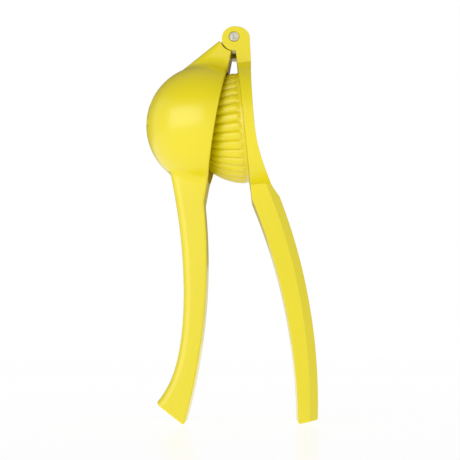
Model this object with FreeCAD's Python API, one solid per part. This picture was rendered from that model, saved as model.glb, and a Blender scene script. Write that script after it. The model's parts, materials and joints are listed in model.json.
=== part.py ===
import FreeCAD, Part
import math
import os

from FreeCAD import Placement, Rotation, Vector

# Hinged lemon squeezer: a perforated cup on one cast arm, a fluted dome on the
# other, and a steel pin through the fork and tongue at the top.
# Both arms are drawn closed, face to face on the plane X = 0, with the pin axis
# on the Y axis and the handles hanging down. They are then opened and stood on
# their two handle tips.
# "along" runs down an arm from the pin, "out" runs from its face to its back.

# Pose
open_angle = 16.0

# Pin and knuckles
pin_radius = 2.9
pin_run = 0.05
pin_chamfer = 0.35
pip_radius = 0.7
pip_depth = 0.5
knuckle_width = 21.0
tongue_width = 8.4
tongue_radius = 5.5
tongue_gap = 0.5
tongue_side_gap = 0.3
ear_radius = 6.85
ear_drop = 1.0
ear_gap = 0.35
ear_turn = 17.0
shoulder_corner = (-2.15, 7.53)
shoulder_end = (0.5, 8.6)
web_end_angle = 112.0

# Faces that meet when the tool is closed
face_relief = 0.15

# Cup
cup_along = 49.75
cup_radius = 33.5
cup_lip = 6.85
cup_wall = 2.3
rim_round = 1.0
hole_radius = 2.4
hole_ring_radius = 11.0
hole_count = 6

# Neck from the tongue to the cup
neck_angle = 43.7
neck_back = 3.55
neck_sink = 0.27
neck_inset = 6.0
neck_edge_round = 2.0
neck_cup_round = 8.0
neck_flare = 8.0

# Collar and dome
dome_gap = 0.7
dome_wall = 3.4
dome_out = 0.6
collar_along = 49.2
collar_radius = 35.75
collar_wall = 2.75
collar_floor = 2.5
collar_height = 5.4
collar_low_along = 57.0
collar_mid = (31.0, 6.3)
collar_top = (13.0, 7.9)
collar_rise = 62.0
rib_count = 36
groove_depth = 1.1
groove_half_width = 0.85
groove_top_angle = 22.0
groove_foot_angle = 86.0

# Handles
handle_width = 23.0
nest_gap = 1.0
nest_bow_radius = 320.0
nest_bow_along = 181.0
nest_bow_depth = 12.7
tip_round = 1.2
cup_handle_length = 212.6
cup_handle_root = (78.0, 22.1)
cup_handle_upper = (112.0, 9.9)
cup_handle_lower = (cup_handle_length - 69.6, 2.4)
cup_handle_waist = (cup_handle_length - 40.6, -0.8)
cup_handle_heel = (cup_handle_length - 22.6, 0.7)
cup_handle_toe = (cup_handle_length - 8.8, 6.2)
cup_handle_bend = 8.0
cup_handle_round = 4.0
cup_handle_blend = 6.0
press_handle_length = 212.7
press_handle_start = 78.0
press_handle_step = 90.5
press_handle_middle = (press_handle_length - 54.7, 25.2)
press_handle_toe = (press_handle_length - 1.0, 22.3)
press_bevel_side = 4.5
press_bevel_back = 3.6

reach = 80.0
cup_side = -1
press_side = 1
half_knuckle = knuckle_width / 2
half_tongue = tongue_width / 2
half_slot = half_tongue + tongue_side_gap
half_handle = handle_width / 2
slot_radius = tongue_radius + tongue_gap
seat_radius = ear_drop + ear_radius + ear_gap
cavity_radius = cup_radius - cup_wall
dome_radius = cavity_radius - dome_gap
dome_inside = dome_radius - dome_wall
sine_of_45 = math.sqrt(0.5)


def at(side, along, out, y=0.0):
    """Point of an arm: along it, out from its face, and across it."""
    return Vector(side * out, y, -along)


def arc(side, first, middle, last):
    return Part.Arc(at(side, *first), at(side, *middle), at(side, *last)).toShape()


def line(side, first, last):
    return Part.makeLine(at(side, *first), at(side, *last))


def smooth(side, points):
    curve = Part.BSplineCurve()
    curve.interpolate([at(side, *point) for point in points])
    return curve.toShape()


def polygon(side, points):
    closed = points + points[:1]
    return [line(side, a, b) for a, b in zip(closed, closed[1:])]


def face_of(edges):
    return Part.Face(Part.Wire(Part.sortEdges(edges)[0]))


def prism(edges, half_width):
    """Solid drawn out from a side outline, equally both ways across the arm."""
    face = face_of(edges)
    face.translate(Vector(0, -half_width, 0))
    return face.extrude(Vector(0, 2 * half_width, 0))


def rod(radius, from_y, to_y):
    return Part.makeCylinder(radius, to_y - from_y, Vector(0, from_y, 0), Vector(0, 1, 0))


def turned(side, along, points):
    """Solid turned about the axis square to an arm's face.

    Each item of points is (out, radius), or a pair of them where an arc passes
    through the first on its way to the second.
    """
    def place(point):
        return Vector(side * point[0], point[1], -along)

    edges = []
    here = place(points[0])
    for item in points[1:] + points[:1]:
        if isinstance(item[0], tuple):
            there = place(item[1])
            edges.append(Part.Arc(here, place(item[0]), there).toShape())
        else:
            there = place(item)
            edges.append(Part.makeLine(here, there))
        here = there
    return face_of(edges).revolve(Vector(0, 0, -along), Vector(1, 0, 0), 360)


def middle_of(edge):
    return edge.valueAt((edge.FirstParameter + edge.LastParameter) / 2)


def pick(shape, side, test):
    """Edges of a shape whose middle point passes a test of along, out and y."""
    chosen = []
    for edge in shape.Edges:
        middle = middle_of(edge)
        if edge.Length > 0.1 and test(-middle.z, side * middle.x, middle.y):
            chosen.append(edge)
    return chosen


def nest_point(along, offset):
    """How far out the bowed line between the handles is, moved by offset."""
    rise = math.sqrt((nest_bow_radius + offset) ** 2 - (along - nest_bow_along) ** 2)
    return nest_bow_depth - nest_bow_radius + rise


def nest_start(out, offset):
    """Place along the arm where that moved line is this far out."""
    rise = out - nest_bow_depth + nest_bow_radius
    return nest_bow_along - math.sqrt((nest_bow_radius + offset) ** 2 - rise ** 2)


def nest_line(start, end, offset, sign):
    """Three points of the moved line, as an arc of an arm's handle."""
    stations = (start, (start + end) / 2, end)
    return [(station, sign * nest_point(station, offset)) for station in stations]


def beside(shape, side, half_width, top, bottom):
    """Long edges of a flat-sided bar, without those of its two ends."""
    return pick(shape, side, lambda a, out, y: abs(y) > half_width - 0.01 and top < a < bottom)


# Cup arm

def neck_point(distance):
    """Point of the neck's sloping back, measured from its foot beside the pin."""
    slope = math.radians(neck_angle)
    along = -neck_back * math.sin(slope) + distance * math.cos(slope)
    out = neck_back * math.cos(slope) + distance * math.sin(slope)
    return (along, out)


def neck_length():
    """How far the neck's back runs before its end lies just under the cup's skin."""
    slope = math.radians(neck_angle)
    foot = neck_point(0)
    along, out = foot[0] - cup_along, foot[1] - cup_lip
    towards = along * math.cos(slope) + out * math.sin(slope)
    apart = along ** 2 + out ** 2 - (cup_radius - neck_sink) ** 2
    return -towards - math.sqrt(towards ** 2 - apart)


def neck():
    """Sloping block from the pin into the cup, its back edges rounding off."""
    end = neck_point(neck_length())
    foot = (end[0] + neck_inset, end[1] - neck_inset)
    outline = [(0, face_relief), neck_point(0), end, foot, (foot[0], face_relief)]
    block = prism(polygon(cup_side, outline), half_knuckle)
    halfway = neck_point(neck_length() / 2)
    backs = pick(block, cup_side, lambda a, out, y: abs(y) > half_knuckle - 0.01
                 and abs(a - halfway[0]) < 0.1 and abs(out - halfway[1]) < 0.1)
    return block.makeFillet(neck_edge_round, neck_cup_round, backs)


def cup_outside():
    """Ball cut off at the cup's face."""
    rim = math.sqrt(cup_radius ** 2 - (cup_lip - face_relief) ** 2)
    slant = cup_radius * sine_of_45
    pole = (cup_lip + cup_radius, 0)
    return turned(cup_side, cup_along, [
        (face_relief, 0), (face_relief, rim), ((cup_lip + slant, slant), pole)])


def cup_inside():
    """Straight-sided mouth with a ball-shaped bottom, open to the front."""
    slant = cavity_radius * sine_of_45
    mouth = -cup_lip
    pole = (cup_lip + cavity_radius, 0)
    return turned(cup_side, cup_along, [
        (mouth, 0), (mouth, cavity_radius), (cup_lip, cavity_radius),
        ((cup_lip + slant, slant), pole)])


def juice_holes():
    """One hole at the bottom of the cup and a ring of holes round it."""
    places = [(0.0, 0.0)]
    for number in range(hole_count):
        turn = 2 * math.pi * number / hole_count
        places.append((hole_ring_radius * math.cos(turn), hole_ring_radius * math.sin(turn)))
    return [Part.makeCylinder(hole_radius, cup_radius, at(cup_side, cup_along + down, cup_lip, y),
                              Vector(cup_side, 0, 0)) for down, y in places]


def cup_handle():
    bend = nest_start(-face_relief, -nest_gap / 2)
    front = nest_line(bend, cup_handle_length, -nest_gap / 2, -1)
    back = [cup_handle_toe, cup_handle_heel, cup_handle_waist, cup_handle_lower,
            cup_handle_upper, cup_handle_root]
    inside = (cup_handle_root[0], face_relief)
    handle = prism([
        line(cup_side, inside, front[0]),
        arc(cup_side, *front),
        line(cup_side, front[2], cup_handle_toe),
        smooth(cup_side, back),
        line(cup_side, cup_handle_root, inside),
    ], half_handle)
    bends = pick(handle, cup_side, lambda a, out, y: abs(a - bend) < 0.1 and abs(y) < 0.1)
    handle = handle.makeFillet(cup_handle_bend, bends)
    sides = beside(handle, cup_side, half_handle, inside[0] + 0.5, cup_handle_toe[0])
    backs = [edge for edge in sides if isinstance(edge.Curve, Part.BSplineCurve)]
    handle = handle.makeFillet(cup_handle_round, backs)
    tips = pick(handle, cup_side, lambda a, out, y: a > cup_handle_toe[0] - 0.5)
    return handle.makeFillet(tip_round, tips)


def on_ball(shape, centre, radius, test):
    """Edges of a shape that lie on a ball's surface."""
    chosen = []
    for edge in shape.Edges:
        middle = middle_of(edge)
        if edge.Length > 0.1 and abs((middle - centre).Length - radius) < 0.01 and test(middle):
            chosen.append(edge)
    return chosen


def cup_arm():
    centre = at(cup_side, cup_along, cup_lip)
    rim_x = cup_side * (face_relief + 0.1)
    body = cup_outside().fuse(neck())
    body = body.makeFillet(neck_flare, on_ball(body, centre, cup_radius, lambda m:
                           m.z > -cup_along and m.x < rim_x and abs(m.y) < half_knuckle + 1))
    body = body.fuse(cup_handle())
    body = body.makeFillet(cup_handle_blend, on_ball(body, centre, cup_radius, lambda m:
                           m.z < -cup_along and m.x < rim_x and abs(m.y) < half_handle + 1))
    fronts = beside(body, cup_side, half_handle, cup_handle_upper[0], cup_handle_toe[0])
    body = body.makeFillet(rim_round, [e for e in fronts if isinstance(e.Curve, Part.Circle)])
    for sign in (-1, 1):
        seat = rod(seat_radius, *sorted((sign * half_tongue, sign * reach)))
        body = body.cut(seat)
    body = body.fuse(rod(tongue_radius, -half_tongue, half_tongue))
    body = body.cut([cup_inside()] + juice_holes())
    return body.cut(rod(pin_radius + pin_run, -knuckle_width, knuckle_width)).removeSplitter()


# Press arm

def rising_point(along):
    """How far out the collar's back is where it rises towards the handle."""
    run = along - collar_low_along
    return collar_height + collar_rise - math.sqrt(collar_rise ** 2 - run ** 2)


def rising_arc(start, end):
    stations = (start, (start + end) / 2, end)
    return arc(press_side, *[(station, rising_point(station)) for station in stations])


def collar():
    """Disc with a dished back, on a bar that carries the fork."""
    low = (collar_low_along, collar_height)
    step = (press_handle_step, rising_point(press_handle_step))
    side_view = prism([
        line(press_side, (0, face_relief), (step[0], face_relief)),
        line(press_side, (step[0], face_relief), step),
        rising_arc(collar_low_along, press_handle_step),
        arc(press_side, low, collar_mid, collar_top),
        line(press_side, collar_top, shoulder_end),
        line(press_side, shoulder_end, (0, face_relief)),
    ], reach)
    disc = turned(press_side, collar_along, [
        (0, 0), (0, collar_radius), (reach / 2, collar_radius), (reach / 2, 0)])
    bar = Part.makeBox(reach / 2, knuckle_width, collar_along, Vector(0, -half_knuckle, -collar_along))
    return side_view.common(disc.fuse(bar))


def ears():
    """Rounded knuckle with a squarer shoulder at its back."""
    turn = math.radians(ear_turn)
    top = (ear_drop - ear_radius * math.cos(turn), ear_radius * math.sin(turn))
    bottom = (ear_drop + math.sqrt(ear_radius ** 2 - face_relief ** 2), face_relief)
    inner = (collar_top[0], face_relief)
    return prism([
        arc(press_side, bottom, (ear_drop, -ear_radius), top),
        arc(press_side, top, shoulder_corner, shoulder_end),
        line(press_side, shoulder_end, collar_top),
        line(press_side, collar_top, inner),
        line(press_side, inner, bottom),
    ], half_knuckle)


def fork_slot():
    """Space between the ears for the tongue, open from the front to the top."""
    turn = math.radians(web_end_angle)
    far = (reach / 4 * math.cos(turn), reach / 4 * math.sin(turn))
    front = seat_radius + tongue_gap
    wedge = prism(polygon(press_side, [
        (0, face_relief), (0, 0), far, (-reach / 4, far[1]), (-reach / 4, -reach / 4),
        (front, -reach / 4), (front, face_relief)]), half_slot)
    return wedge.fuse(rod(slot_radius, -half_slot, half_slot))


def groove(turn):
    """Bent wedge that scores one groove down the dome, from near its top to its foot."""
    outward = Vector(0, math.cos(turn), math.sin(turn))
    hinge = Vector(1, 0, 0).cross(outward)
    top_angle = math.radians(groove_top_angle)
    start = Vector(-math.cos(top_angle), 0, 0) + outward * math.sin(top_angle)
    centre = at(press_side, collar_along, dome_out)
    bottom = centre + start * (dome_radius - groove_depth)
    above = centre + start * (dome_radius + groove_depth)
    spread = hinge * 2 * groove_half_width
    section = Part.makePolygon([bottom, above + spread, above - spread, bottom])
    return Part.Face(section).revolve(centre, hinge, groove_top_angle - groove_foot_angle)


def dome():
    """Ball with rounded ribs left between its grooves, on a short straight foot."""
    slant = dome_radius * sine_of_45
    ball = turned(press_side, collar_along, [
        (collar_floor, 0), (collar_floor, dome_radius), (dome_out, dome_radius),
        ((dome_out - slant, slant), (dome_out - dome_radius, 0))])
    for number in range(rib_count):
        ball = ball.cut(groove(2 * math.pi * (number + 0.5) / rib_count))
    return ball


def dome_hollow():
    """Inside of the dome and of the collar, open to the back."""
    slant = dome_inside * sine_of_45
    wide = collar_radius - collar_wall
    floor = face_relief + collar_floor
    return turned(press_side, collar_along, [
        (reach / 2, 0), (reach / 2, wide), (floor, wide), (floor, dome_inside),
        (dome_out, dome_inside),
        ((dome_out - slant, slant), (dome_out - dome_inside, 0))])


def press_handle():
    bend = nest_start(face_relief, nest_gap / 2)
    front = nest_line(bend, press_handle_length, nest_gap / 2, 1)
    start = (press_handle_start, rising_point(press_handle_start))
    step = (press_handle_step, rising_point(press_handle_step))
    inside = (press_handle_start, face_relief)
    handle = prism([
        line(press_side, inside, front[0]),
        arc(press_side, *front),
        line(press_side, front[2], press_handle_toe),
        arc(press_side, press_handle_toe, press_handle_middle, step),
        rising_arc(press_handle_start, press_handle_step),
        line(press_side, start, inside),
    ], half_handle)
    sides = beside(handle, press_side, half_handle, press_handle_start + 0.5, press_handle_toe[0])
    backs = [edge for edge in sides if middle_of(edge).x > nest_bow_depth + nest_gap]
    handle = handle.makeChamfer(press_bevel_back, press_bevel_side, backs)
    tips = pick(handle, press_side, lambda a, out, y: a > press_handle_toe[0] - 0.5)
    return handle.makeFillet(tip_round, tips)


def press_arm():
    body = collar().fuse([ears(), press_handle(), dome()])
    body = body.cut([dome_hollow(), fork_slot()])
    body = body.cut(rod(pin_radius, -knuckle_width, knuckle_width))
    return body.removeSplitter()


def hinge_pin():
    """Plain pin, chamfered, with a centre mark in each end."""
    pin = rod(pin_radius, -half_knuckle, half_knuckle)
    pin = pin.makeChamfer(pin_chamfer, [edge for edge in pin.Edges if edge.Closed])
    for sign in (-1, 1):
        mark = Part.makeCone(pip_radius, 0, pip_depth, Vector(0, sign * half_knuckle, 0),
                             Vector(0, -sign, 0))
        pin = pin.cut(mark)
    return pin


# Standing pose

def lowest(shape):
    """Lowest point of a shape."""
    side = 20 * reach
    floor = Part.makePlane(side, side, Vector(-side / 2, -side / 2, -side))
    return shape.distToShape(floor)[1][0][0]


def turn_about_pin(degrees):
    return Placement(Vector(0, 0, 0), Rotation(Vector(0, 1, 0), degrees))


def placed(shape, placement):
    copy = shape.copy()
    copy.Placement = placement.multiply(copy.Placement)
    return copy


def standing_turns():
    """Turns of the two arms that open them and level the two handle tips."""
    cup_turn, press_turn = open_angle / 2, -open_angle / 2
    cup_tip, press_tip = cup_handle(), press_handle()
    for _ in range(3):
        left = lowest(placed(cup_tip, turn_about_pin(cup_turn)))
        right = lowest(placed(press_tip, turn_about_pin(press_turn)))
        lean = math.degrees(math.atan2(right.z - left.z, right.x - left.x))
        cup_turn, press_turn = cup_turn + lean, press_turn + lean
    return cup_turn, press_turn


def assembly():
    """Every piece at rest, with the origin on the floor under the middle."""
    cup_turn, press_turn = standing_turns()
    pieces = {
        "bowl_arm": placed(cup_arm(), turn_about_pin(cup_turn)),
        "plunger_arm": placed(press_arm(), turn_about_pin(press_turn)),
        "hinge_pin": placed(hinge_pin(), turn_about_pin(press_turn)),
    }
    floor = min(lowest(pieces["bowl_arm"]).z, lowest(pieces["plunger_arm"]).z)
    left = pieces["bowl_arm"].optimalBoundingBox(False, False).XMin
    right = pieces["plunger_arm"].optimalBoundingBox(False, False).XMax
    stand = Placement(Vector(-(left + right) / 2, 0, -floor), Rotation())
    print("cup arm turned", round(cup_turn, 4), "press arm turned", round(press_turn, 4))
    print("pin axis at", stand.Base)
    return {name: placed(shape, stand) for name, shape in pieces.items()}


os.makedirs("parts", exist_ok=True)
for name, shape in assembly().items():
    shape.exportStep("parts/" + name + ".step")
    print(name, "solids", len(shape.Solids), "volume", round(shape.Volume))
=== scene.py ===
import json
import logging
import math
from dataclasses import dataclass
from enum import Enum
from typing import Any, Dict, List, Optional, Tuple, Union

import bmesh
import bpy
from mathutils import Matrix, Vector


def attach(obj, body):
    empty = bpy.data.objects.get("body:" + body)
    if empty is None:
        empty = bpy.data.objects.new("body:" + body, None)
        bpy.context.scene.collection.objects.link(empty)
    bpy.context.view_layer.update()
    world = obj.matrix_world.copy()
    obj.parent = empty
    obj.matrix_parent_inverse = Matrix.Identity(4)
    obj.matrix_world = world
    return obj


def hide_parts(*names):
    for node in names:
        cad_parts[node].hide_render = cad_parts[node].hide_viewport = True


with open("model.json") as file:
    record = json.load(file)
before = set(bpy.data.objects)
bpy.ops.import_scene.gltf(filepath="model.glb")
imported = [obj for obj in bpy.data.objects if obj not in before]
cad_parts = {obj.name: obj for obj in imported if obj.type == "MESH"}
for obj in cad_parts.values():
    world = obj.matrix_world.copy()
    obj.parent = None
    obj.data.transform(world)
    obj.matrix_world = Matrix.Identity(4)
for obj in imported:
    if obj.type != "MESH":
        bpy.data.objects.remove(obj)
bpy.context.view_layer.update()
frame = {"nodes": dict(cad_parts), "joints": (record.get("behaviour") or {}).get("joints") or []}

MM = 0.001
PICTURE_PX = 460
WHITE = (1.0, 1.0, 1.0, 1.0)
NOISE_MIDDLE = 0.5
MIX_FIRST_COLOUR, MIX_SECOND_COLOUR, MIX_RESULT_COLOUR = 6, 7, 2
PIN_MIDDLE = Vector(frame["joints"][0]["pos_m"])

log = logging.getLogger("lemon_squeezer")

Colour = Tuple[float, float, float, float]
Triple = Tuple[float, float, float]


class Body(Enum):
    """The two halves that turn on the pin."""

    CUP = "cup_half"
    PRESS = "press_half"


class Slot(Enum):
    """The record's finishes."""

    CUP_ENAMEL = "yellow_enamel_cup"
    PRESS_ENAMEL = "yellow_enamel_press"
    PIN_STEEL = "steel_pin"


class Signal:
    """An output socket that can stand in a Python sum."""

    def __init__(self, bench: "Bench", socket: bpy.types.NodeSocket) -> None:
        """Keeps the socket and the bench that its sums are built on."""
        self.bench = bench
        self.socket = socket

    def _sum(self, operation: str, first: "Term", second: "Term") -> "Signal":
        """Adds one Math node.

        Args:
            operation: name of the Math node's operation.
            first: left-hand side.
            second: right-hand side.

        Returns:
            The node's result.
        """
        return self.bench.signal("ShaderNodeMath", {"operation": operation},
                                 {0: first, 1: second})

    def __add__(self, other: "Term") -> "Signal":
        """Returns self + other."""
        return self._sum("ADD", self, other)

    def __radd__(self, other: "Term") -> "Signal":
        """Returns other + self."""
        return self._sum("ADD", other, self)

    def __sub__(self, other: "Term") -> "Signal":
        """Returns self - other."""
        return self._sum("SUBTRACT", self, other)

    def __rsub__(self, other: "Term") -> "Signal":
        """Returns other - self."""
        return self._sum("SUBTRACT", other, self)

    def __mul__(self, other: "Term") -> "Signal":
        """Returns self * other."""
        return self._sum("MULTIPLY", self, other)

    def __rmul__(self, other: "Term") -> "Signal":
        """Returns other * self."""
        return self._sum("MULTIPLY", other, self)

    def __truediv__(self, other: "Term") -> "Signal":
        """Returns self / other."""
        return self._sum("DIVIDE", self, other)

    def __pow__(self, other: "Term") -> "Signal":
        """Returns self raised to other."""
        return self._sum("POWER", self, other)

    def __abs__(self) -> "Signal":
        """Returns the size of self without its sign."""
        return self._sum("ABSOLUTE", self, 0.0)

    def sine(self) -> "Signal":
        """Returns the sine of self in radians."""
        return self._sum("SINE", self, 0.0)

    def cosine(self) -> "Signal":
        """Returns the cosine of self in radians."""
        return self._sum("COSINE", self, 0.0)


Term = Union[Signal, float, int]
Settings = Optional[Dict[str, Any]]
Inputs = Optional[Dict[Union[str, int], Any]]


class Bench:
    """Adds nodes to one tree and joins them."""

    def __init__(self, tree: bpy.types.NodeTree) -> None:
        """Keeps the tree that the nodes go into."""
        self.tree = tree

    def node(self, kind: str, settings: Settings = None, inputs: Inputs = None) -> bpy.types.Node:
        """Adds one node.

        Args:
            kind: Blender's type name of the node.
            settings: properties set before the sockets.
            inputs: a value, a Signal or an output socket for each named input.

        Returns:
            The new node.
        """
        node = self.tree.nodes.new(kind)
        for name, value in (settings or {}).items():
            setattr(node, name, value)
        for name, value in (inputs or {}).items():
            socket = node.inputs[name]
            if isinstance(value, Signal):
                self.tree.links.new(value.socket, socket)
            elif isinstance(value, bpy.types.NodeSocket):
                self.tree.links.new(value, socket)
            else:
                socket.default_value = value
        return node

    def signal(self, kind: str, settings: Settings = None, inputs: Inputs = None,
               output: Union[str, int] = 0) -> Signal:
        """Adds a node and hands back one of its outputs.

        Args:
            kind: Blender's type name of the node.
            settings: properties set first.
            inputs: values or links of the inputs.
            output: name or number of the output wanted.

        Returns:
            That output.
        """
        return Signal(self, self.node(kind, settings, inputs).outputs[output])

    def smooth_step(self, value: Signal, start: Term, end: Term) -> Signal:
        """Runs smoothly from 0 at start to 1 at end.

        Args:
            value: what is measured.
            start: value that gives 0.
            end: value that gives 1.

        Returns:
            The eased share.
        """
        return self.signal("ShaderNodeMapRange", {"interpolation_type": "SMOOTHSTEP"},
                           {"Value": value, "From Min": start, "From Max": end})

    def noise(self, place: bpy.types.NodeSocket, scale: float, detail: float) -> Signal:
        """Adds a noise texture.

        Args:
            place: coordinates that the noise follows.
            scale: patches per metre, roughly.
            detail: how many finer layers it has.

        Returns:
            Its value, about 0.5 in the middle.
        """
        return self.signal("ShaderNodeTexNoise", None,
                           {"Vector": place, "Scale": scale, "Detail": detail})

    def mixed_colour(self, share: Term, first: Colour, second: Colour) -> bpy.types.NodeSocket:
        """Blends two colours.

        Args:
            share: 0 gives the first colour and 1 the second.
            first: one colour.
            second: the other colour.

        Returns:
            The colour output.
        """
        node = self.node("ShaderNodeMix", {"data_type": "RGBA"}, {
            "Factor": share, MIX_FIRST_COLOUR: first, MIX_SECOND_COLOUR: second})
        return node.outputs[MIX_RESULT_COLOUR]


def new_material(name: str) -> Tuple[bpy.types.Material, Bench]:
    """Makes a material with an empty node tree.

    Args:
        name: the material's name.

    Returns:
        The material and a bench on its tree.
    """
    made = bpy.data.materials.new(name)
    made.use_nodes = True
    made.node_tree.nodes.clear()
    return made, Bench(made.node_tree)


def new_object(name: str, data: bpy.types.ID) -> bpy.types.Object:
    """Makes an object and puts it in the scene.

    Args:
        name: the object's name.
        data: its mesh, lamp or camera.

    Returns:
        The object.
    """
    made = bpy.data.objects.new(name, data)
    bpy.context.scene.collection.objects.link(made)
    return made


def new_sheet(name: str, corners: List[Triple], finish: bpy.types.Material) -> bpy.types.Object:
    """Makes a flat sheet of the stage.

    Args:
        name: the sheet's name.
        corners: its four corners in order.
        finish: its material.

    Returns:
        The sheet.
    """
    mesh = bpy.data.meshes.new(name)
    mesh.from_pydata(corners, [], [(0, 1, 2, 3)])
    mesh.materials.append(finish)
    sheet = new_object(name, mesh)
    return sheet


def dress(piece: bpy.types.Object, finish: bpy.types.Material) -> None:
    """Gives a piece one finish all over.

    Args:
        piece: a mesh object.
        finish: its material.
    """
    if not piece.material_slots:
        piece.data.materials.append(finish)
    for slot in piece.material_slots:
        slot.material = finish


@dataclass(frozen=True)
class Enamel:
    """Glossy stoved enamel over a cast arm."""

    name: str
    colour: Colour = (0.80, 0.68, 0.003, 1.0)
    thin_colour: Colour = (0.77, 0.64, 0.002, 1.0)
    tone_scale: float = 28.0
    tone_detail: float = 2.0
    peel_scale: float = 620.0
    cast_scale: float = 95.0
    relief_detail: float = 1.0
    peel_share: float = 0.3
    cast_share: float = 0.7
    relief_strength: float = 0.5
    relief_height: float = 0.06 * MM
    roughness: float = 0.3
    roughness_swing: float = 0.05
    edge_radius: float = 0.45 * MM
    edge_samples: int = 6
    ior: float = 1.5
    coat_weight: float = 0.3
    coat_roughness: float = 0.2

    def material(self) -> bpy.types.Material:
        """Builds the finish.

        Returns:
            A material on Object coordinates.
        """
        made, bench = new_material(self.name)
        place = bench.node("ShaderNodeTexCoord").outputs["Object"]
        tone = bench.noise(place, self.tone_scale, self.tone_detail)
        peel = bench.noise(place, self.peel_scale, self.relief_detail)
        cast = bench.noise(place, self.cast_scale, self.relief_detail)
        soft = bench.node("ShaderNodeBevel", {"samples": self.edge_samples},
                          {"Radius": self.edge_radius})
        relief = bench.node("ShaderNodeBump", None, {
            "Strength": self.relief_strength, "Distance": self.relief_height,
            "Height": peel * self.peel_share + cast * self.cast_share,
            "Normal": soft.outputs[0]})
        shader = bench.node("ShaderNodeBsdfPrincipled", None, {
            "Base Color": bench.mixed_colour(tone, self.colour, self.thin_colour),
            "Roughness": self.roughness + (peel - NOISE_MIDDLE) * self.roughness_swing,
            "Normal": relief.outputs[0],
            "IOR": self.ior,
            "Coat Weight": self.coat_weight,
            "Coat Roughness": self.coat_roughness,
        })
        bench.node("ShaderNodeOutputMaterial", None, {"Surface": shader.outputs[0]})
        return made


@dataclass(frozen=True)
class TurnedSteel:
    """Steel pin with fine rings left by the lathe on its ends."""

    name: str
    axis_place: Triple
    colour: Colour = (0.62, 0.59, 0.50, 1.0)
    dull_colour: Colour = (0.45, 0.43, 0.36, 1.0)
    ring_pitch: float = 0.28 * MM
    ring_share: float = 0.5
    smear_scale: float = 900.0
    smear_detail: float = 3.0
    relief_strength: float = 0.35
    relief_height: float = 0.02 * MM
    roughness: float = 0.2
    roughness_swing: float = 0.12

    def material(self) -> bpy.types.Material:
        """Builds the finish.

        Returns:
            A material on Object coordinates, centred on the pin's axis.
        """
        made, bench = new_material(self.name)
        place = bench.node("ShaderNodeTexCoord").outputs["Object"]
        centred = bench.node("ShaderNodeMapping", {"vector_type": "POINT"}, {
            "Vector": place, "Location": tuple(-part for part in self.axis_place)})
        spread = bench.node("ShaderNodeVectorMath", {"operation": "MULTIPLY"},
                            {0: centred.outputs[0], 1: (1.0, 0.0, 1.0)})
        radius = bench.signal("ShaderNodeVectorMath", {"operation": "LENGTH"},
                              {0: spread.outputs[0]}, "Value")
        rings = (radius * (2 * math.pi / self.ring_pitch)).sine()
        smear = bench.noise(place, self.smear_scale, self.smear_detail)
        relief = bench.node("ShaderNodeBump", None, {
            "Strength": self.relief_strength, "Distance": self.relief_height,
            "Height": rings * self.ring_share + smear})
        shader = bench.node("ShaderNodeBsdfPrincipled", None, {
            "Base Color": bench.mixed_colour(smear, self.colour, self.dull_colour),
            "Roughness": self.roughness + smear * self.roughness_swing,
            "Normal": relief.outputs[0],
            "Metallic": 1.0,
        })
        bench.node("ShaderNodeOutputMaterial", None, {"Surface": shader.outputs[0]})
        return made


@dataclass
class CupArm:
    """Perforated cup, its neck and its handle, as cast."""

    node: str = "bowl_arm"
    finish: Enamel = Enamel("cup_arm_enamel")

    def dress(self) -> bpy.types.Object:
        """Enamels the casting.

        Returns:
            The CAD node.
        """
        piece = frame["nodes"][self.node]
        dress(piece, self.finish.material())
        return piece


@dataclass
class HingePin:
    """Steel pin pressed into the fork."""

    node: str = "hinge_pin"
    finish: TurnedSteel = TurnedSteel("pin_steel", tuple(PIN_MIDDLE))

    def dress(self) -> bpy.types.Object:
        """Finishes the pin.

        Returns:
            The CAD node.
        """
        piece = frame["nodes"][self.node]
        dress(piece, self.finish.material())
        return piece


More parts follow.
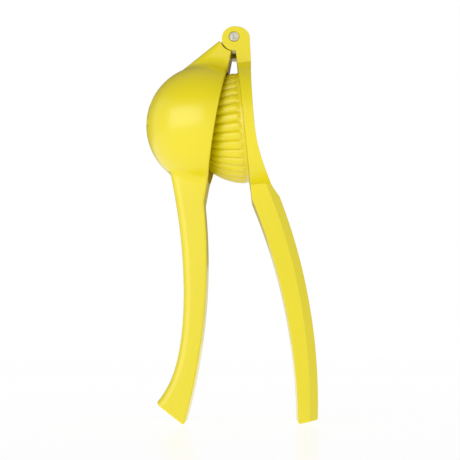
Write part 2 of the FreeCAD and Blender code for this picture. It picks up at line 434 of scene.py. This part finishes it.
@dataclass
class RibbedDome:
    """Dome whose ribs are one bent strip set round its axis by Geometry Nodes."""

    centre: Vector
    tilt: float
    crest_radius: float = 30.6 * MM
    groove_depth: float = 1.2 * MM
    groove_power: float = 3.0
    ribs: int = 36
    smooth_top: float = math.radians(14.0)
    full_depth: float = math.radians(27.0)
    foot_angle: float = math.radians(89.1)
    foot_drop: float = 0.5 * MM
    foot_height: float = 3.4 * MM
    fillet_height: float = 1.1 * MM
    columns: int = 13
    rows: int = 72
    strip_width: float = 2.0
    strip_length: float = 1.0
    weld_distance: float = 0.01 * MM

    def sizes(self) -> Dict[str, Tuple[str, Any]]:
        """Lists the tree's inputs.

        Returns:
            The socket type and the value of each named input.
        """
        return {
            "Crest Radius": ("NodeSocketFloat", self.crest_radius),
            "Groove Depth": ("NodeSocketFloat", self.groove_depth),
            "Groove Power": ("NodeSocketFloat", self.groove_power),
            "Ribs": ("NodeSocketInt", self.ribs),
            "Smooth Top": ("NodeSocketFloat", self.smooth_top),
            "Full Depth": ("NodeSocketFloat", self.full_depth),
            "Foot Angle": ("NodeSocketFloat", self.foot_angle),
            "Foot Drop": ("NodeSocketFloat", self.foot_drop),
            "Foot Height": ("NodeSocketFloat", self.foot_height),
            "Fillet Height": ("NodeSocketFloat", self.fillet_height),
            "Columns": ("NodeSocketInt", self.columns),
            "Rows": ("NodeSocketInt", self.rows),
            "Centre": ("NodeSocketVector", tuple(self.centre)),
            "Tilt": ("NodeSocketFloat", self.tilt),
        }

    def rib(self, bench: Bench, size: Dict[str, Signal]) -> bpy.types.Node:
        """Bends a flat strip over the dome.

        The strip's X runs over one rib from -1 to 1, and its Y from the pole to the foot.

        Args:
            bench: where the nodes go.
            size: the tree's inputs by name.

        Returns:
            The node with one rib.
        """
        strip = bench.node("GeometryNodeMeshGrid", None, {
            "Size X": self.strip_width, "Size Y": self.strip_length,
            "Vertices X": size["Columns"], "Vertices Y": size["Rows"]})
        spot = bench.node("ShaderNodeSeparateXYZ", None,
                          {0: bench.node("GeometryNodeInputPosition").outputs[0]})
        across = Signal(bench, spot.outputs["X"])
        down = (Signal(bench, spot.outputs["Y"]) + self.strip_length / 2) * size["Foot Angle"]
        turn = across * math.pi / size["Ribs"]

        height = size["Crest Radius"] * (down.cosine() - size["Foot Angle"].cosine())
        begun = bench.smooth_step(down, size["Smooth Top"], size["Full Depth"])
        ended = bench.smooth_step(height, size["Fillet Height"], size["Foot Height"])
        groove = size["Groove Depth"] * abs(across) ** size["Groove Power"] * begun * ended
        sunk = size["Foot Drop"] * (1 - ended)
        flare = size["Foot Drop"] * (1 - bench.smooth_step(height, 0.0, size["Fillet Height"]))
        radius = size["Crest Radius"] - groove - sunk + flare
        bent = bench.node("ShaderNodeCombineXYZ", None, {
            "X": -1 * radius * down.cosine(),
            "Y": radius * down.sine() * turn.cosine(),
            "Z": radius * down.sine() * turn.sine()})
        return bench.node("GeometryNodeSetPosition", None,
                          {"Geometry": strip.outputs[0], "Position": bent.outputs[0]})

    def tree(self, finish: bpy.types.Material) -> bpy.types.NodeTree:
        """Builds the node tree.

        Args:
            finish: material that the tree sets.

        Returns:
            The tree, with its named inputs.
        """
        tree = bpy.data.node_groups.new("ribbed_dome", "GeometryNodeTree")
        face = tree.interface
        face.new_socket("Geometry", in_out="OUTPUT", socket_type="NodeSocketGeometry")
        for name, (kind, value) in self.sizes().items():
            face.new_socket(name, in_out="INPUT", socket_type=kind).default_value = value
        bench = Bench(tree)
        given = bench.node("NodeGroupInput")
        size = {name: Signal(bench, given.outputs[name]) for name in self.sizes()}
        rib = self.rib(bench, size)

        spots = bench.node("GeometryNodeMeshLine", None,
                           {"Count": size["Ribs"], "Offset": (0.0, 0.0, 0.0)})
        number = bench.signal("GeometryNodeInputIndex")
        spin = bench.node("ShaderNodeCombineXYZ", None,
                          {"X": number * 2 * math.pi / size["Ribs"]})
        ring = bench.node("GeometryNodeInstanceOnPoints", None, {
            "Points": spots.outputs[0], "Instance": rib.outputs[0],
            "Rotation": bench.node("FunctionNodeEulerToRotation", None,
                                   {0: spin.outputs[0]}).outputs[0]})
        whole = bench.node("GeometryNodeRealizeInstances", None, {"Geometry": ring.outputs[0]})
        closed = bench.node("GeometryNodeMergeByDistance", None, {
            "Geometry": whole.outputs[0], "Distance": self.weld_distance})
        lean = bench.node("ShaderNodeCombineXYZ", None, {"Y": size["Tilt"]})
        placed = bench.node("GeometryNodeTransform", None, {
            "Geometry": closed.outputs[0], "Translation": size["Centre"],
            "Rotation": lean.outputs[0]})
        dressed = bench.node("GeometryNodeSetMaterial", None,
                             {"Geometry": placed.outputs[0], "Material": finish})
        bench.node("NodeGroupOutput", None, {"Geometry": dressed.outputs[0]})
        return tree

    def build(self, finish: bpy.types.Material) -> bpy.types.Mesh:
        """Runs the tree and keeps its result as a plain mesh.

        Args:
            finish: material that the tree sets.

        Returns:
            The dome's skin, open at its foot.
        """
        tree = self.tree(finish)
        holder = new_object("dome_maker", bpy.data.meshes.new("dome_maker"))
        modifier = holder.modifiers.new("ribs", "NODES")
        modifier.node_group = tree
        inputs = {item.name: item for item in tree.interface.items_tree
                  if item.in_out == "INPUT"}
        for name, (_, value) in self.sizes().items():
            modifier[inputs[name].identifier] = value
        graph = bpy.context.evaluated_depsgraph_get()
        made = bpy.data.meshes.new_from_object(holder.evaluated_get(graph), depsgraph=graph)
        holder.modifiers.remove(modifier)
        bpy.data.objects.remove(holder)
        return made


@dataclass
class PressArm:
    """Fork, collar, ribbed dome and handle, cast in one."""

    node: str = "plunger_arm"
    finish: Enamel = Enamel("press_arm_enamel")
    arm_turn: float = math.radians(-5.703)
    dome_along: float = 49.2 * MM
    dome_out: float = 0.6 * MM
    cad_ball_radius: float = 30.5 * MM
    cad_groove_radius: float = 29.2 * MM
    ball_margin: float = 0.1 * MM
    foot_margin: float = 0.3 * MM
    weld_distance: float = 0.002 * MM
    crease_angle: float = math.radians(28.0)
    carried_normals: str = "cad_normal"
    shortest_carried: float = 0.5

    def turned(self, direction: Triple) -> Vector:
        """Returns a direction of the closed arm as it points at rest."""
        return Matrix.Rotation(self.arm_turn, 3, "Y") @ Vector(direction)

    def dome_centre(self) -> Vector:
        """Returns the middle of the dome's ball at rest."""
        return PIN_MIDDLE + self.turned((self.dome_out, 0.0, -self.dome_along))

    def casting(self) -> bmesh.types.BMesh:
        """Copies the CAD arm, welds it and takes its dome's skin off.

        Returns:
            The rest of the arm, open where the dome stands.
        """
        source = frame["nodes"][self.node].data
        shell = bmesh.new()
        shell.from_mesh(source)
        carried = shell.loops.layers.float_vector.new(self.carried_normals)
        corners = iter(source.corner_normals)
        for face in shell.faces:
            for corner in face.loops:
                corner[carried] = next(corners).vector
        bmesh.ops.remove_doubles(shell, verts=shell.verts, dist=self.weld_distance)
        centre = self.dome_centre()
        axis = self.turned((1.0, 0.0, 0.0))
        largest = self.cad_ball_radius + self.ball_margin
        skin = []
        for face in shell.faces:
            spokes = [vert.co - centre for vert in face.verts]
            if all(self.cad_groove_radius < spoke.length < largest
                   and spoke.dot(axis) < -self.foot_margin for spoke in spokes):
                skin.append(face)
        bmesh.ops.delete(shell, geom=skin, context="FACES")
        return shell

    def join(self, shell: bmesh.types.BMesh) -> None:
        """Closes the seam between the casting and the dome.

        Args:
            shell: both of them, each open along one rim.
        """
        rims = [edge for edge in shell.edges if edge.is_boundary]
        log.info("press arm: %d rim edges to join", len(rims))
        seam = bmesh.ops.bridge_loops(shell, edges=rims)["faces"]
        carried = shell.loops.layers.float_vector[self.carried_normals]
        for face in seam:
            for corner in face.loops:
                corner[carried] = (0.0, 0.0, 0.0)
        bmesh.ops.recalc_face_normals(shell, faces=shell.faces)
        for face in shell.faces:
            face.smooth = True
            face.material_index = 0

    def shade_as_cad(self, mesh: bpy.types.Mesh) -> None:
        """Gives the welded faces the smooth shading that the CAD surfaces have.

        Args:
            mesh: the joined arm, whose corners still carry the CAD's normals.
        """
        carried = mesh.attributes[self.carried_normals].data
        normals = []
        for kept, fresh in zip(carried, mesh.corner_normals):
            vector = Vector(kept.vector)
            is_carried = vector.length > self.shortest_carried
            normals.append(vector.normalized() if is_carried else Vector(fresh.vector))
        mesh.attributes.remove(mesh.attributes[self.carried_normals])
        mesh.normals_split_custom_set(normals)

    def build(self) -> bpy.types.Object:
        """Joins the welded casting and the ribbed dome into one closed shell.

        Returns:
            The finished arm, which stands for the CAD node.
        """
        finish = self.finish.material()
        dome = RibbedDome(self.dome_centre(), self.arm_turn).build(finish)
        shell = self.casting()
        shell.from_mesh(dome)
        self.join(shell)
        mesh = bpy.data.meshes.new("press_arm")
        shell.to_mesh(mesh)
        shell.free()
        mesh.set_sharp_from_angle(angle=self.crease_angle)
        self.shade_as_cad(mesh)
        piece = new_object("press_arm", mesh)
        dress(piece, finish)
        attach(piece, Body.PRESS.value)
        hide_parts(self.node)
        return piece


@dataclass(frozen=True)
class Lamp:
    """Large soft lamp."""

    name: str
    place: Triple
    width: float
    height: float
    power: float

    def hang(self, aim: Triple) -> bpy.types.Object:
        """Hangs the lamp.

        Args:
            aim: the point that it shines at.

        Returns:
            The lamp object.
        """
        lamp = bpy.data.lights.new(self.name, "AREA")
        lamp.shape = "RECTANGLE"
        lamp.size = self.width
        lamp.size_y = self.height
        lamp.energy = self.power
        holder = new_object(self.name, lamp)
        holder.location = self.place
        gaze = Vector(aim) - Vector(self.place)
        holder.rotation_euler = gaze.to_track_quat("-Z", "Y").to_euler()
        return holder


@dataclass(frozen=True)
class Card:
    """Grey card that the enamel mirrors, out of the picture."""

    name: str
    middle: Triple
    half: Triple
    level: float

    def hang(self) -> bpy.types.Object:
        """Hangs the card square to the axis along which it has no size.

        Returns:
            The card, hidden from the camera.
        """
        first, second = [index for index in range(3) if self.half[index] > 0]
        corners = []
        for first_sign, second_sign in ((-1, -1), (1, -1), (1, 1), (-1, 1)):
            corner = list(self.middle)
            corner[first] += first_sign * self.half[first]
            corner[second] += second_sign * self.half[second]
            corners.append(corner)
        finish, bench = new_material(self.name)
        glow = bench.node("ShaderNodeEmission", None, {"Color": WHITE, "Strength": self.level})
        bench.node("ShaderNodeOutputMaterial", None, {"Surface": glow.outputs[0]})
        card = new_sheet(self.name, corners, finish)
        card.visible_camera = False
        return card


@dataclass
class Studio:
    """White floor, white surroundings and large soft lamps."""

    floor_half: float = 3.0
    floor_shade: float = 0.95
    floor_roughness: float = 0.12
    floor_lit_share: float = 0.8
    floor_shown_level: float = 1.07
    floor_bounce_level: float = 1.2
    world_mirrored_level: float = 0.8
    world_lighting_level: float = 0.47
    lamps: Tuple[Lamp, ...] = (
        Lamp("key", (-0.78, -1.0, 0.3), 1.6, 0.85, 9.2),
        Lamp("fill", (1.1, -0.9, 0.35), 1.2, 1.2, 4.0),
    )
    cards: Tuple[Card, ...] = (
        Card("back_card", (0.0, 0.55, 0.93), (1.0, 0.0, 0.8), 0.18),
        Card("ceiling_card", (0.0, 0.0, 1.1), (1.3, 1.3, 0.0), 0.3),
    )
    aim: Triple = (0.0, 0.0, 0.11)

    def floor(self) -> bpy.types.Object:
        """Lays the floor.

        Returns:
            The floor.
        """
        half = self.floor_half
        shade = self.floor_shade
        finish, bench = new_material("white_floor")
        matt = bench.node("ShaderNodeBsdfPrincipled", None, {
            "Base Color": (shade, shade, shade, 1.0), "Roughness": self.floor_roughness})
        shown = bench.signal("ShaderNodeLightPath", output="Is Camera Ray")
        bright = bench.node("ShaderNodeEmission", None, {
            "Color": WHITE,
            "Strength": shown * self.floor_shown_level + (1 - shown) * self.floor_bounce_level})
        joined = bench.node("ShaderNodeMixShader", None, {
            0: self.floor_lit_share, 1: matt.outputs[0], 2: bright.outputs[0]})
        bench.node("ShaderNodeOutputMaterial", None, {"Surface": joined.outputs[0]})
        corners = [(-half, -half, 0.0), (half, -half, 0.0), (half, half, 0.0), (-half, half, 0.0)]
        return new_sheet("floor", corners, finish)

    def surroundings(self) -> bpy.types.World:
        """Makes the world white to look at and softer as a light.

        Returns:
            The world.
        """
        world = bpy.data.worlds.new("white_room")
        world.use_nodes = True
        world.node_tree.nodes.clear()
        bench = Bench(world.node_tree)
        path = bench.node("ShaderNodeLightPath")
        shown = Signal(bench, path.outputs["Is Camera Ray"])
        mirrored = Signal(bench, path.outputs["Is Glossy Ray"])
        lighting = 1 - shown - mirrored
        sky = bench.node("ShaderNodeBackground", None, {
            "Color": WHITE,
            "Strength": shown + mirrored * self.world_mirrored_level
                        + lighting * self.world_lighting_level})
        bench.node("ShaderNodeOutputWorld", None, {"Surface": sky.outputs[0]})
        bpy.context.scene.world = world
        return world

    def build(self) -> List[bpy.types.ID]:
        """Sets the whole studio up.

        Returns:
            The world, the floor, the cards and the lamps.
        """
        return [self.surroundings(), self.floor(),
                *(card.hang() for card in self.cards),
                *(lamp.hang(self.aim) for lamp in self.lamps)]


@dataclass(frozen=True)
class PhotoCamera:
    """Camera at the photograph's angle, found by fitting the arms' outlines."""

    place: Triple = (12.6863 * MM, -516.1632 * MM, 40.0995 * MM)
    yaw: float = -0.025
    pitch: float = 0.0997
    roll: float = -0.0046
    focal_px: float = 946.76
    drop_px: float = 23.0
    sensor: float = 36.0
    clip_start: float = 0.01
    clip_end: float = 20.0

    def build(self) -> bpy.types.Object:
        """Sets the camera up and makes it the scene's.

        Returns:
            The camera object.
        """
        data = bpy.data.cameras.new("photo_camera")
        data.sensor_width = self.sensor
        data.lens = self.sensor * self.focal_px / PICTURE_PX
        data.shift_y = self.drop_px / PICTURE_PX
        data.clip_start, data.clip_end = self.clip_start, self.clip_end
        gaze = Vector((math.sin(self.yaw) * math.cos(self.pitch),
                       math.cos(self.yaw) * math.cos(self.pitch), math.sin(self.pitch)))
        right = gaze.cross(Vector((0.0, 0.0, 1.0))).normalized()
        up = right.cross(gaze)
        level_right = right * math.cos(self.roll) + up * math.sin(self.roll)
        level_up = up * math.cos(self.roll) - right * math.sin(self.roll)
        turn = Matrix((level_right, level_up, -gaze)).transposed().to_4x4()
        holder = new_object("photo_camera", data)
        holder.matrix_world = Matrix.Translation(self.place) @ turn
        bpy.context.scene.camera = holder
        return holder


def main() -> None:
    """Builds every sub-assembly in order and reports it."""
    logging.basicConfig(level=logging.INFO, format="%(name)s: %(message)s")
    log.info("studio: %s", [part.name for part in Studio().build()])
    log.info("camera: %s", PhotoCamera().build().name)
    built = (
        (CupArm().dress(), Body.CUP, Slot.CUP_ENAMEL),
        (HingePin().dress(), Body.PRESS, Slot.PIN_STEEL),
        (PressArm().build(), Body.PRESS, Slot.PRESS_ENAMEL),
    )
    for piece, body, slot in built:
        log.info("%s on %s in %s: %d faces", piece.name, body.value, slot.value,
                 len(piece.data.polygons))
    bpy.context.scene.view_settings.view_transform = "Standard"


if __name__ == "__main__":
    main()
